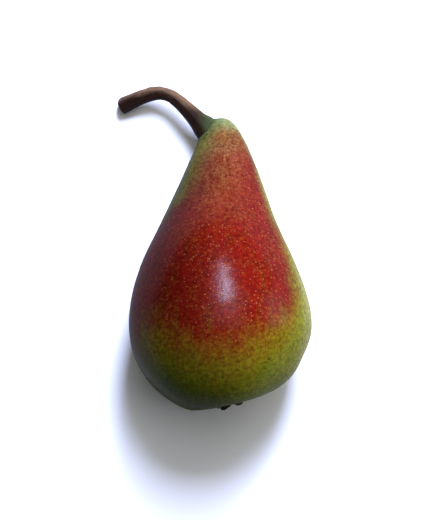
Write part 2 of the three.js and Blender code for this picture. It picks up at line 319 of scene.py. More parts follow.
class CalyxSettings(PropertyGroup):
    """Sizes and colours of the dried flower remains."""

    stamens: IntProperty(name="Stamens", description="Number of stamens", default=9, min=0)
    thickness: small_length("Sepal thickness", "Thickness of a sepal", 0.0008)
    dry: tint("Dry brown", "Colour of the dried sepals", (0.022, 0.011, 0.007))
    fibres: tint("Fibres", "Colour of the lighter fibres", (0.085, 0.045, 0.025))


class StageSettings(PropertyGroup):
    """The floor, the lights and the room."""

    key: FloatProperty(name="Window light", description="Power of the large window-like light", default=23.5,
                       subtype="POWER")
    ceiling: FloatProperty(name="Ceiling light", description="Power of the large light above", default=5.5,
                           subtype="POWER")
    side: FloatProperty(name="Side light", description="Power of the weak light from the right",
                        default=3.0, subtype="POWER")
    sky: FloatProperty(name="Sky", description="Strength of the even light from all sides", default=0.05)
    sky_colour: tint("Sky colour", "Colour of the even light", (0.80, 0.86, 1.0))
    room: FloatProperty(name="Room", description="How bright the room behind the floor looks", default=0.45)
    room_colour: tint("Room colour", "Colour of the room behind the floor", (0.86, 0.89, 0.96))
    floor: tint("Floor", "Colour of the floor", (0.86, 0.86, 0.87))


def bump(value, place, reach):
    """Bell curve: one at the place, falling to 1/e at the reach."""
    return np.exp(-(((value - place) / reach) ** 2))


def turn_between(a, b):
    """Difference of two angles, brought to -pi to pi."""
    return np.arctan2(np.sin(a - b), np.cos(a - b))


def rise(value, low, high):
    """Smooth step: 0 at low, 1 at high, 3t^2 - 2t^3 between. It falls where low is above high."""
    t = np.clip((value - low) / (high - low), 0, 1)
    return t * t * (3 - 2 * t)


def noise(points, cell, seed):
    """Value noise from -1 to 1: a random value at each corner of a lattice of cells, blended smoothly."""
    place = np.asarray(points) / cell
    corner = np.floor(place)
    part = place - corner
    blend = part * part * (3 - 2 * part)
    total = 0
    for step in np.ndindex(2, 2, 2):
        spot = (corner + step) @ np.array(HASH_WAY) + HASH_SEED_STEP * seed
        value = np.modf(np.sin(spot) * HASH_SCALE)[0]
        weight = np.prod(np.where(step, blend, 1 - blend), axis=-1)
        total = total + weight * value
    return total


def layered_noise(points, cell, seed, layers):
    """Sum of noises, each with half the cell and half the height of the one before."""
    return sum(noise(points, cell / 2**k, seed + k) / 2**k for k in range(layers))


def smooth_line(points, places):
    """Uniform Catmull-Rom curve through the points; a place counts points from the first one."""
    p = np.asarray(points, float)
    start = np.clip(np.floor(places).astype(int), 0, len(p) - 2)
    w = (places - start)[..., None]
    before, near = p[np.maximum(start - 1, 0)], p[start]
    far, after = p[start + 1], p[np.minimum(start + 2, len(p) - 1)]
    slope_near, slope_far = (far - before) / 2, (after - near) / 2
    cubic = (2 * near - 2 * far + slope_near + slope_far) * w**3
    square = (3 * far - 3 * near - 2 * slope_near - slope_far) * w**2
    return cubic + square + slope_near * w + near


def unit(vectors):
    """The same directions with length one."""
    return vectors / np.linalg.norm(vectors, axis=-1, keepdims=True)


def directions_across(along):
    """Two directions across a line that never stands upright: sideways and level, and the one above."""
    side = unit(np.cross(along, [0.0, 0.0, 1.0]))
    return side, np.cross(side, along)


def directions_round(angle, side, top):
    """Directions away from each place on a line: cosine of the angle times side plus sine times top."""
    return np.cos(angle)[None, :, None] * side[:, None] + np.sin(angle)[None, :, None] * top[:, None]


def angles_round(columns):
    """Even angles of a full turn, without its last one."""
    return np.linspace(0, 2 * np.pi, columns, endpoint=False)


def between(places, known, rows):
    """Each coordinate of the rows, known at some places, found at other places on straight lines between."""
    return np.stack([np.interp(places, known, rows[:, k]) for k in range(rows.shape[1])], axis=-1)


def core_place(distance):
    """Point, direction and the two cross directions of the core line at a distance from its start.

    The line is a cubic Bezier curve measured by its length, and runs on straight past both ends. Towards the
    neck's end it is raised by the square of the distance from the lift's start."""
    u = np.linspace(0, 1, LINE_SAMPLES)[:, None]
    p = np.array(CORE) * MM
    curve = (1 - u) ** 3 * p[0] + 3 * (1 - u) ** 2 * u * p[1] + 3 * (1 - u) * u**2 * p[2] + u**3 * p[3]
    slope = 3 * (1 - u) ** 2 * (p[1] - p[0]) + 6 * (1 - u) * u * (p[2] - p[1]) + 3 * u**2 * (p[3] - p[2])
    length = np.concatenate([[0], np.cumsum(np.linalg.norm(np.diff(curve, axis=0), axis=1))])
    inside = np.clip(distance, 0, length[-1])
    along = unit(between(inside, length, slope))
    point = between(inside, length, curve) + (distance - inside)[..., None] * along
    reach = (NECK_LIFT["end"] - NECK_LIFT["start"]) * MM
    past = np.maximum(0, distance - NECK_LIFT["start"] * MM) / reach
    upward = np.array([0.0, 0.0, NECK_LIFT["height"] * MM])
    point = point + (past**2)[..., None] * upward
    along = unit(along + (2 * past / reach)[..., None] * upward)
    side, top = directions_across(along)
    return point, along, side, top


def outline_rows(rows):
    """Distance along the core and radius, at rows spaced evenly along the outline but closer at its ends."""
    stations = np.array(OUTLINE) * MM
    mirrored = stations[[1, -2]] * [1, -1]
    points = np.vstack([mirrored[:1], stations, mirrored[1:]])
    fine = smooth_line(points, np.linspace(1, len(points) - 2, OUTLINE_SAMPLES))
    step = np.linalg.norm(np.diff(fine, axis=0), axis=1)
    middle = (fine[1:, 0] + fine[:-1, 0]) / 2
    weight = 1
    for closer in (CLOSER_AT_NECK, CLOSER_IN_BASIN):
        weight = weight + closer["extra"] * rise(middle, closer["from"] * MM, closer["to"] * MM)
    measure = np.concatenate([[0], np.cumsum(step * weight)])
    even = np.linspace(0, measure[-1], rows + 1)
    return np.interp(even, measure, fine[:, 0]), np.interp(even, measure, fine[:, 1])


def swelling(distance, angle):
    """Height of the shoulders, the crest, the collar and the lobes.

    Each of the first three is a bell curve of the distance times one of the angle. The lobes are a cosine of
    the angle times a bell curve of the distance."""
    total = 0
    for form in (FULL_SHOULDER, FLAT_SHOULDER, CREST, COLLAR):
        round_it = bump(turn_between(angle, form["angle"]), 0, form["spread"])
        along_it = bump(distance, form["place"] * MM, form["reach"] * MM)
        total = total + form["height"] * MM * along_it * round_it
    wave = np.cos(LOBES["count"] * angle + LOBES["turn"])
    return total + LOBES["height"] * MM * wave * bump(distance, LOBES["place"] * MM, LOBES["reach"] * MM)


def stem_foot():
    """Where the stem's middle line passes the neck's surface, and its direction into the neck."""
    line = np.array(STEM_LINE) * MM
    return line[STEM_FOOT], unit(line[STEM_FOOT + 1] - line[STEM_FOOT - 1])


def fruit_surface(settings):
    """Points of the fruit on a grid, with each point's distance along the core and angle round it.

    A point is the core line's point plus a radius along the direction of its angle. The radius is the
    outline's, plus the swelling, plus noise for the uneven skin and folded waves that run into the basin.
    Round the stem's foot the points are raised along the stem as a low fleshy lip."""
    distance, radius = outline_rows(settings.rows)
    angle = angles_round(settings.columns)
    point, _, side, top = core_place(distance)
    away = directions_round(angle, side, top)
    s, r = distance[:, None], radius[:, None]
    fade = np.minimum(1, r / (BASIN_RADIUS * MM))
    grown = r + fade * swelling(s, angle[None])
    base = point[:, None] + grown[..., None] * away
    uneven = settings.waves * layered_noise(base, **WAVE_NOISE)
    crease = np.abs(np.sin(CREASE_TURNS * angle[None] + CREASE_WAVER * noise(base, **CREASE_NOISE)))
    in_basin = bump(r, CREASES["radius"] * MM, CREASES["reach"] * MM) * (s < CREASES["end"] * MM)
    folded = settings.puckers * (crease - CREASE_LEVEL) * in_basin
    surface = base + (fade * uneven + folded)[..., None] * away
    surface[..., 2] = np.maximum(surface[..., 2], 0)
    foot, into = stem_foot()
    offset = surface - foot
    along = offset @ into
    across = np.linalg.norm(offset - along[..., None] * into, axis=-1)
    near = rise(np.abs(along), LIP["from"] * MM, LIP["to"] * MM)
    raised = settings.lip * bump(across, STEM_RADII[STEM_FOOT] * MM, LIP["reach"] * MM)
    surface = surface - (near * raised)[..., None] * into
    return surface, s + 0 * angle, angle + 0 * s


def finish_mesh(name, points, faces):
    """Smooth-shaded mesh from points and faces."""
    mesh = bpy.data.meshes.new(name)
    mesh.from_pydata(points.tolist(), [], faces)
    mesh.polygons.foreach_set("use_smooth", np.ones(len(mesh.polygons), bool))
    mesh.update()
    return mesh


def mesh_from_grid(name, grid, attributes=None):
    """Closed mesh from rows of rings. The first and last row are single points, kept once each.

    Each ring runs anticlockwise as the next ring sees it, so that every face points outwards."""
    rows, columns = grid.shape[:2]
    index = 1 + np.arange((rows - 2) * columns).reshape(rows - 2, columns)
    ahead = np.roll(index, -1, axis=1)
    last = 1 + (rows - 2) * columns
    quads = np.stack([index[:-1], ahead[:-1], ahead[1:], index[1:]], axis=-1).reshape(-1, 4)
    start_fan = np.stack([np.zeros(columns, int), ahead[0], index[0]], axis=-1)
    end_fan = np.stack([index[-1], ahead[-1], np.full(columns, last)], axis=-1)

    def once(values):
        """Values of the grid with the first and the last row kept once each."""
        inner = values[1:-1].reshape((-1,) + values.shape[2:])
        return np.concatenate([values[0, :1], inner, values[-1, :1]])

    mesh = finish_mesh(name, once(grid), start_fan.tolist() + quads.tolist() + end_fan.tolist())
    for key, values in (attributes or {}).items():
        flat = once(values)
        kind, field = ("FLOAT", "value") if flat.ndim == 1 else ("FLOAT_VECTOR", "vector")
        layer = mesh.attributes.new(key, kind, "POINT")
        layer.data.foreach_set(field, flat.astype(np.float32).ravel())
    return mesh


def join_meshes(name, parts):
    """One mesh from several."""
    points, faces, start = [], [], 0
    for part in parts:
        co = np.empty(len(part.vertices) * 3, np.float32)
        part.vertices.foreach_get("co", co)
        points.append(co.reshape(-1, 3))
        faces += [[start + v for v in polygon.vertices] for polygon in part.polygons]
        start += len(part.vertices)
    return finish_mesh(name, np.vstack(points), faces)


def add_to_scene(name, data):
    """A new object of some data, linked into the scene."""
    made = bpy.data.objects.new(name, data)
    bpy.context.scene.collection.objects.link(made)
    return made


def add_piece(name, mesh, material, node):
    """Puts a finished piece in the scene. It rides on the one body and stands for a node of the frame."""
    piece = add_to_scene(name, mesh)
    mesh.materials.append(material)
    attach(piece, "root")
    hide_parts(node)


class Finish:
    """A material and short calls for adding and linking its nodes."""

    def __init__(self, name):
        self.material = bpy.data.materials.new(name)
        self.material.use_nodes = True
        self.tree = self.material.node_tree
        self.surface = self.tree.nodes["Principled BSDF"]

    def feed(self, socket, value):
        """Links a socket to another one, or sets its value."""
        if isinstance(value, bpy.types.NodeSocket):
            self.tree.links.new(value, socket)
        else:
            socket.default_value = value

    def node(self, kind, inputs=None, **choices):
        """Adds a node with its choices, and feeds its inputs by name or number."""
        made = self.tree.nodes.new("ShaderNode" + kind)
        for key, value in choices.items():
            setattr(made, key, value)
        for key, value in (inputs or {}).items():
            self.feed(made.inputs[key], value)
        return made

    def finished(self, **inputs):
        """Feeds the surface's inputs, named with underscores for spaces, and gives the material."""
        for key, value in inputs.items():
            self.feed(self.surface.inputs[key.replace("_", " ")], value)
        return self.material

    def math(self, operation, first, second=0.0):
        """One sum on two numbers."""
        return self.node("Math", {0: first, 1: second}, operation=operation).outputs[0]

    def step(self, value, low, high, start=0.0, end=1.0):
        """Smooth step of a value from low to high, from start to end."""
        inputs = {"Value": value, "From Min": low, "From Max": high, "To Min": start, "To Max": end}
        return self.node("MapRange", inputs, interpolation_type="SMOOTHSTEP").outputs["Result"]

    def mix(self, share, first, second, blend="MIX"):
        """Blends two colours."""
        made = self.node("Mix", data_type="RGBA", blend_type=blend, clamp_factor=True)
        self.feed(made.inputs[0], share)
        self.feed(made.inputs[6], first)
        self.feed(made.inputs[7], second)
        return made.outputs[2]

    def noise(self, vector, size, detail, roughness, stretch=None):
        """Noise from 0 to 1 with cells of about a size, longer along the third axis where it is stretched."""
        if stretch is not None:
            scale = {"Vector": vector, "Scale": (1, 1, stretch)}
            vector = self.node("Mapping", scale).outputs["Vector"]
        inputs = {"Vector": vector, "Scale": 1 / size, "Detail": detail, "Roughness": roughness}
        return self.node("TexNoise", inputs).outputs["Fac"]

    def spread(self, value, amount):
        """A noise moved to lie round zero and multiplied."""
        return self.math("MULTIPLY", self.math("SUBTRACT", value, 0.5), amount)

    def uneven(self, patterns, shares):
        """Sum of patterns, each spread round zero by its share."""
        total = 0.0
        for name, share in shares.items():
            total = self.math("ADD", self.spread(patterns[name], share), total)
        return total

    def dots(self, vector, cell, radius):
        """Round dots, one to a cell, of radii up to about the given one: 1 in a dot, 0 outside."""
        inputs = {"Vector": vector, "Scale": 1 / cell, "Randomness": 1.0}
        cells = self.node("TexVoronoi", inputs, feature="F1", distance="EUCLIDEAN")
        size = self.node("SeparateColor", {0: cells.outputs["Color"]}).outputs[0]
        edge = self.math("MULTIPLY", self.math("ADD", size, SMALLEST_DOT), radius / cell)
        return self.step(cells.outputs["Distance"], edge, self.math("MULTIPLY", edge, DOT_CORE))

    def nearest_gap(self, vector, spots):
        """Distance to the nearest of some spots."""
        nearest = 1.0
        for spot in spots:
            gap = self.node("VectorMath", {0: vector, 1: tuple(spot)}, operation="DISTANCE")
            nearest = self.math("MINIMUM", gap.outputs["Value"], nearest)
        return nearest

    def relief(self, height, strength, distance):
        """Fine relief of the surface as a normal."""
        inputs = {"Strength": strength, "Distance": distance, "Height": height}
        return self.node("Bump", inputs).outputs["Normal"]

    def attribute(self, name, output="Fac"):
        """A number or vector kept on the mesh."""
        return self.node("Attribute", attribute_name=name).outputs[output]

    def object_place(self):
        """The place on the piece in metres."""
        return self.node("TexCoord").outputs["Object"]


def colour(values):
    """Four numbers for a colour socket."""
    return (*values, 1.0)


def blush_share(place, turn, broad, fine, step):
    """How much of the blush lies at each point, from 0 to 1.

    It is a product of smooth steps: from a lower edge, which rises with the square of the angle to both
    sides, to the neck, where it thins in two steps, and between a right and a left limit of the angle. The
    left limit draws in towards the neck. Noise moves them all."""
    edge, limit = BLUSH_EDGE, BLUSH_LEFT
    to_right = np.maximum(0, np.pi / 2 - turn)
    to_left = np.maximum(0, turn - np.pi / 2)
    lower = edge["place"] + edge["right"] * to_right**2
    lower = lower + np.minimum(edge["left"] * to_left**2, edge["left_most"])
    moved = place + edge["broad"] * broad + edge["fine"] * fine
    along = rise(moved, lower - edge["below"], lower + edge["above"])
    leftmost = limit["neck"] + limit["belly"] * step["blush_widens"]
    moved = turn + limit["broad"] * broad + limit["fine"] * fine
    left = rise(moved, leftmost + limit["outside"], leftmost - limit["inside"])
    neck = BLUSH_AT_NECK["ends"] * step["blush_ends_at_neck"]
    neck = neck + BLUSH_AT_NECK["thins"] * step["blush_thins_at_neck"]
    return along * step["blush_right"] * left * neck


def painted_skin_shade(place, turn, broad, step):
    """Painted shade and light: darker on the left side, darkest at its belly, lighter along the right flank.

    The painted shade is a smooth step of the angle that ends in another one below, so that both sides meet.
    It is lighter by smooth steps of the place towards the basin and the neck."""
    full = PAINTED_SHADE["full"] + PAINTED_SHADE["drawn_back"] * step["shade_draws_back"]
    shaded = rise(turn + PAINTED_SHADE["broad"] * broad, PAINTED_SHADE["from"], full) * step["shade_ends_below"]
    darkest = PAINTED_LIGHT_LEVELS["shaded"] + PAINTED_LIGHT_LEVELS["basin"] * step["shade_lighter_at_basin"]
    darkest = darkest + PAINTED_LIGHT_LEVELS["neck"] * step["shade_lighter_at_neck"]
    flank = PAINTED_LIGHT_LEVELS["flank"] * step["painted_flank_light_from_above"] * step["painted_flank_light_from_below"]
    light = PAINTED_LIGHT_LEVELS["lit"] - (PAINTED_LIGHT_LEVELS["lit"] - darkest) * shaded + flank
    belly = bump(place, PAINTED_BELLY_SHADE["place"], PAINTED_BELLY_SHADE["reach"])
    belly = belly * step["shade_of_belly"] * step["shade_ends_below"]
    return light * (1 - PAINTED_BELLY_SHADE["depth"] * belly)


def skin_zones(surface, distance, angle):
    """Shares of the skin's colours over the fruit, and the painted shade and light over it.

    Each border is a smooth step of the place along the core or of the angle round it, and noise moves some
    of them. The green beside the basin leans to the left by a cosine of the angle. The pale right flank is
    painted rim light. The tan along the neck's upper side, partly the skin's own and partly a painted sheen,
    is a bell curve of the angle, and the green rim one of the distance from the stem's line."""
    place, turn = distance / MM, np.mod(angle + np.pi / 2, 2 * np.pi) - np.pi / 2
    values = {"place": place, "turn": turn}
    broad = layered_noise(surface, **BROAD_NOISE)
    fine = layered_noise(surface, **FINE_NOISE)
    step = {name: rise(values[kind] + by_broad * broad + by_fine * fine, none, full)
            for name, (kind, none, full, by_broad, by_fine) in BORDERS.items()}
    towards_neck = place + GREEN["broad"] * broad + GREEN["lean"] * np.cos(turn)
    veil_and_sheen = bump(turn + VEIL_AND_SHEEN["broad"] * broad, VEIL_AND_SHEEN["turn"], VEIL_AND_SHEEN["reach"])
    foot, into = stem_foot()
    across = np.linalg.norm(np.cross(surface - foot, into), axis=-1)
    return {
        "blush": blush_share(place, turn, broad, fine, step),
        # The light share is painted shade and light, multiplied into the skin's colours.
        "light": painted_skin_shade(place, turn, broad, step),
        "green": 1 - rise(towards_neck, GREEN["full"], GREEN["none"]),
        "olive": step["olive"],
        "pale": step["pale"],
        "painted_rim_light": PAINTED_RIM_LIGHT_SHARE * step["painted_rim_light_from_above"] * step["painted_rim_light_from_below"] * step["painted_rim_light_from_basin"],
        "veil_and_sheen": veil_and_sheen * step["veil_and_sheen_begins"] * step["veil_and_sheen_ends"],
        "rim": RIM["share"] * bump(across, RIM["radius"], RIM["reach"]) * step["rim_begins"],
    }


def speck_places(surface, distance, angle):
    """The skin's points nearest to the specks, by distance along the core and angle at the grown radius."""
    round_it = GROWN_RADIUS / MM
    gaps = [np.hypot(distance / MM - place, round_it * turn_between(angle, turn)) for place, turn in SPECKS]
    return [surface[np.unravel_index(gap.argmin(), gap.shape)] for gap in gaps]


def skin_finish(settings, specks):
    """Waxy skin: a green ground, the blush streaked over it, pale dots on the blush, dark ones beside it."""
    make = Finish("pear_skin")
    place = make.object_place()
    grown = make.attribute("grown", "Vector")
    blush, veil_and_sheen = make.attribute("blush"), make.attribute("veil_and_sheen")
    patterns = {
        "streaks": make.noise(grown, **STREAKS),
        "wisps": make.noise(grown, **WISPS),
        "grain": make.noise(place, **GRAIN),
        "cloud": make.noise(place, **CLOUD),
    }
    shaded = make.math("ADD", make.attribute("green"), make.spread(patterns["cloud"], 1.0))
    ground = make.mix(shaded, colour(settings.yellow), colour(settings.green))
    # Olive and pale green are the skin's own colours; the pale right flank is painted rim light.
    for zone in ("olive", "pale", "painted_rim_light"):
        ground = make.mix(make.attribute(zone), ground, colour(getattr(settings, zone)))
    cover = make.math("MULTIPLY", blush, COVER["blush"])
    cover = make.math("ADD", cover, make.uneven(patterns, UNEVEN_BLUSH))
    cover = make.step(cover, COVER["none"], COVER["full"])
    skin = make.mix(cover, ground, colour(settings.red))
    tan = make.math("ADD", patterns["streaks"], make.spread(patterns["grain"], TAN_STREAKS["grain"]))
    tan = make.step(tan, TAN_STREAKS["low"], TAN_STREAKS["high"], TAN_STREAKS["least"], TAN_STREAKS["most"])
    # The tan along the neck's top: partly the skin's own, partly a painted sheen.
    skin = make.mix(make.math("MULTIPLY", veil_and_sheen, tan), skin, colour(settings.tan))
    skin = make.mix(make.attribute("rim"), skin, colour(settings.rim))
    dots = make.math("MAXIMUM", make.dots(place, **LARGE_DOTS), make.dots(place, **SMALL_DOTS))
    dots = make.math("MULTIPLY", dots, DOT_HEIGHT)
    pale_dots = make.math("MULTIPLY", make.math("MULTIPLY", dots, cover), PALE_DOT_SHARE)
    skin = make.mix(pale_dots, skin, colour(settings.dots))
    beside = make.step(blush, DARK_DOTS["blush"], 0.0, 0.0, DARK_DOTS["share"])
    skin = make.mix(make.math("MULTIPLY", dots, beside), skin, colour(settings.dark_dots))
    gap = make.nearest_gap(place, specks)
    speck = make.step(gap, SPECK["radius"], DOT_CORE * SPECK["radius"], 0.0, SPECK["share"])
    skin = make.mix(speck, skin, colour(settings.speck))
    # The tone is random unevenness times the light share, the painted shade and light, and multiplies the
    # skin's colours.
    tone = make.math("ADD", make.uneven(patterns, UNEVEN_TONE), 1.0)
    tone = make.math("MULTIPLY", make.attribute("light"), make.math("MAXIMUM", tone, LEAST_TONE))
    shade = make.node("CombineXYZ", {0: tone, 1: tone, 2: tone}).outputs[0]
    relief = make.math("ADD", make.math("MULTIPLY", patterns["grain"], SKIN_RELIEF["grain"]), dots)
    relief = make.relief(relief, SKIN_RELIEF["strength"], SKIN_RELIEF["distance"])
    return make.finished(
        Base_Color=make.mix(1.0, skin, shade, "MULTIPLY"), Roughness=0.5, Specular_IOR_Level=0.0,
        Normal=relief, Coat_Weight=settings.gloss, Coat_Roughness=settings.dullness, Coat_Normal=relief,
    )


class PEAR_OT_fruit(Operator):
    """Grows the fruit with its basin, its stem seat and its coloured skin"""

    bl_idname = "pear.fruit"
    bl_label = "Fruit"

    def execute(self, context):
        settings = context.scene.pear_fruit
        surface, distance, angle = fruit_surface(settings)
        grown = [GROWN_RADIUS * np.cos(angle), GROWN_RADIUS * np.sin(angle), distance]
        zones = {"grown": np.stack(grown, axis=-1), **skin_zones(surface, distance, angle)}
        turned = {name: values[:, ::-1] for name, values in zones.items()}
        mesh = mesh_from_grid("fruit_skin", surface[:, ::-1], turned)
        finish = skin_finish(settings, speck_places(surface, distance, angle))
        add_piece("fruit_skin", mesh, finish, "fruit")
        return {"FINISHED"}


def bark_place(angle, length):
    """Place on the bark as if the stem were a straight rod: round it by the angle, along it by the length."""
    round_it = [BARK_RADIUS * np.cos(angle), BARK_RADIUS * np.sin(angle), length]
    return np.stack(np.broadcast_arrays(*round_it), axis=-1)


def stem_surface(settings):
    """Points of the stem on a grid, from its tip's scar to its root.

    A point is the middle line's point plus a radius round it. The radius is that of the nearest places,
    plus ribs, a cosine of the angle with a slow twist, wrinkles, noise stretched along the stem, and knots,
    the highest parts of a coarser noise. Rings of smaller radius close both ends."""
    last = len(STEM_LINE) - 1
    share = np.linspace(0, last - ROOT_SHORTER, settings.rows + 1 - len(TIP_RINGS) - len(ROOT_RINGS))
    fine = np.linspace(0, last, LINE_SAMPLES)
    line = smooth_line(np.array(STEM_LINE) * MM, fine)
    centre = between(share, fine, line)
    along = unit(between(share, fine, unit(np.gradient(line, axis=0))))
    radius = smooth_line(np.array(STEM_RADII)[:, None] * MM, share)
    side, top = directions_across(along)
    angle = angles_round(settings.columns)
    away = directions_round(angle, side, top)
    length = np.concatenate([[0], np.cumsum(np.linalg.norm(np.diff(centre, axis=0), axis=1))])[:, None]
    rod = bark_place(angle, WRINKLE_STRETCH * length)
    wave = RIBS["count"] * angle[None] + RIBS["twist"] * length + RIBS["waver"] * noise(rod, **RIB_NOISE)
    wrinkles = settings.wrinkles * layered_noise(rod, **WRINKLE_NOISE)
    lumps = layered_noise(centre[:, None] + radius[..., None] * away, **KNOT_NOISE)
    knots = KNOTS["height"] * np.maximum(0, lumps - KNOTS["level"])
    swollen = radius + settings.ribs * np.cos(wave) + wrinkles + knots
    body = centre[:, None] + swollen[..., None] * away
    tip = []
    for inward, depth in TIP_RINGS:
        rough = TIP_ROUGHNESS * noise(body[0] * inward, **TIP_NOISE) if inward else np.zeros(len(angle))
        tip.append(centre[0] + inward * (body[0] - centre[0]) + (depth + rough)[:, None] * along[0])
    root = [centre[-1] + inward * (body[-1] - centre[-1]) + depth * along[-1] for inward, depth in ROOT_RINGS]
    lengths = np.concatenate([np.zeros(len(tip)), length[:, 0], np.full(len(root), length[-1, 0])])
    return np.stack(tip + list(body) + root), bark_place(angle, lengths[:, None])


def bark_finish(settings):
    """Dull bark: nearly black, painted shade below; tan above, wear and painted light; greenish at the neck.
    """
    make = Finish("stem_bark")
    grown = make.attribute("grown", "Vector")
    split = make.node("SeparateXYZ", {0: grown})
    below = make.math("DIVIDE", split.outputs[0], BARK_RADIUS)
    length = split.outputs[2]
    patterns = {
        "fibres": make.noise(grown, **FIBRES),
        "cloud": make.noise(make.object_place(), **BARK_CLOUD),
    }
    # Tan share: uneven fibres and clouds for wear, less towards the side below, which paints shade below and
    # light above.
    worn_and_lit = make.math("SUBTRACT", make.uneven(patterns, UNEVEN_BARK), below)
    for low, high, amount in LESS_TAN:
        worn_and_lit = make.math("SUBTRACT", worn_and_lit, make.step(length, low, high, 0.0, amount))
    worn_and_lit = make.step(worn_and_lit, *TAN_STEP)
    bark = make.mix(worn_and_lit, colour(settings.bark), colour(settings.worn_and_lit))
    flesh = make.mix(worn_and_lit, colour(settings.fleshy), colour(settings.fleshy_worn_and_lit))
    edge = make.math("ADD", length, make.math("MULTIPLY", patterns["cloud"], FLESHY["cloud"]))
    edge = make.math("SUBTRACT", edge, make.math("MULTIPLY", below, FLESHY["below"]))
    edge = make.step(edge, FLESHY["from"], FLESHY["to"])
    fleshy = make.math("MULTIPLY", edge, make.step(below, FLESHY["under"], FLESHY["over"]))
    return make.finished(
        Base_Color=make.mix(fleshy, bark, flesh), Roughness=0.62, Specular_IOR_Level=0.05,
        Normal=make.relief(patterns["fibres"], **BARK_RELIEF),
    )


class PEAR_OT_stem(Operator):
    """Grows the bent, woody stem"""

    bl_idname = "pear.stem"
    bl_label = "Stem"

    def execute(self, context):
        settings = context.scene.pear_stem
        grid, grown = stem_surface(settings)
        mesh = mesh_from_grid("stem_bark", grid, {"grown": grown})
        add_piece("stem_bark", mesh, bark_finish(settings), "stem")
        return {"FINISHED"}


def at_blossom_end(local):
    """Turns and moves points from the basin's own frame, third axis out of the basin, to the fruit."""
    point, along, side, top = core_place(np.array(OUTLINE[0][0] * MM))
    return point + local[..., :1] * side + local[..., 1:2] * top - local[..., 2:] * along


def cup_surface():
    """The low cup that carries the sepals: an outline of radius and height, turned round and roughened."""
    outline = np.array(CUP_OUTLINE) * MM
    places = np.linspace(0, len(outline) - 1, CUP_ROWS + 1)
    rows = between(places, np.arange(len(outline)), outline)
    radius, height = rows[:, :1], rows[:, 1:]
    angle = angles_round(CUP_COLUMNS)
    grid = np.stack(np.broadcast_arrays(radius * np.cos(angle), radius * np.sin(angle), height), axis=-1)
    rough = CUP_ROUGHNESS["height"] * layered_noise(grid, **CUP_NOISE)
    rough = rough * rise(radius, 0.0, CUP_ROUGHNESS["full"])
    return grid + rough[..., None] * np.stack([np.cos(angle), np.sin(angle), 0 * angle + 1], axis=-1)


def sepal_surface(angle, length, seed, thickness):
    """One sepal: a thin rounded section carried along a share of the sepal line, measured from its foot.

    Its half width falls like the root of one less the taper times t^2 towards the tip, its edges bend inwards
    with the square of the distance from its middle, and noise crinkles it."""
    stations = np.array(SEPAL_LINE) * MM
    stations = stations[0] + length * (stations - stations[0])
    line = smooth_line(stations, np.linspace(0, len(stations) - 1, SEPAL_ROWS))
    t = np.linspace(0, 1, SEPAL_ROWS)[:, None]
    turn = -angles_round(SEPAL_COLUMNS)
    ragged = noise(np.stack([SEPAL["notches"] * t, 0 * t, 0 * t], -1), 1, seed)
    half = SEPAL["half_width"] * np.sqrt(1 - SEPAL["taper"] * t**2) * (1 + SEPAL["ragged"] * ragged)
    over = np.cos(turn) * half
    middle = over / half
    through = np.sin(turn) * thickness / 2 * (1 - SEPAL["thinner_edge"] * middle**4)
    spot = np.stack(np.broadcast_arrays(over, SEPAL["length"] * t, 0 * over), axis=-1)
    crinkle = SEPAL["crinkle"] * layered_noise(spot, CRINKLE_CELL, seed + 3, 3) * rise(t, 0.1, 0.5)
    outward = line[:, :1] + through - SEPAL["curl"] * middle**2 + crinkle
    wave = SEPAL["wave"] * noise(spot, WAVE_CELL, seed + 9) * t
    height = line[:, 1:] + wave - SEPAL["droop"] * middle**2 * t
    x = outward * np.cos(angle) - over * np.sin(angle)
    y = outward * np.sin(angle) + over * np.cos(angle)
    grid = np.stack([x, y, height], axis=-1)
    first = grid[:1].mean(axis=1, keepdims=True) + 0 * grid[:1]
    last = grid[-1:].mean(axis=1, keepdims=True) + 0 * grid[-1:]
    return np.concatenate([first, grid, last])


def stamen_surface(angle, tip_height):
    """A thin rod along a bowed line, a straight line plus half a sine wave, with a swollen end.

    Its width is the root of one less a high power of the distance from the rod's middle, which makes its
    ends blunt, times a bell curve for the knob."""
    way = np.array([np.cos(angle), np.sin(angle), 0])
    foot = STAMEN["foot_radius"] * way + [0, 0, STAMEN["foot_height"]]
    tip = STAMEN["tip_radius"] * way + [0, 0, tip_height]
    t = np.linspace(0, 1, STAMEN_ROWS)
    line = np.outer(1 - t, foot) + np.outer(t, tip) + np.outer(np.sin(np.pi * t), STAMEN["bow"] * way)
    lean = unit(tip - foot)
    across = unit(np.cross(lean, STAMEN_CROSS))
    other = np.cross(lean, across)
    turn = angles_round(STAMEN_COLUMNS)
    knob = 1 + KNOB["swelling"] * bump(t, KNOB["place"], KNOB["reach"])
    width = STAMEN["radius"] * knob * np.sqrt(np.clip(1 - np.abs(2 * t - 1) ** BLUNT_ENDS, 0, 1))
    ring = np.cos(turn)[:, None] * across + np.sin(turn)[:, None] * other
    return line[:, None] + width[:, None, None] * ring


def dry_finish(settings):
    """Dry, nearly black tissue with brown fibres."""
    make = Finish("dried_sepals")
    fibres = make.noise(make.object_place(), **DRY_FIBRES)
    tone = make.mix(make.step(fibres, *DRY_STEP), colour(settings.dry), colour(settings.fibres))
    return make.finished(Base_Color=tone, Roughness=0.78, Normal=make.relief(fibres, **DRY_RELIEF))


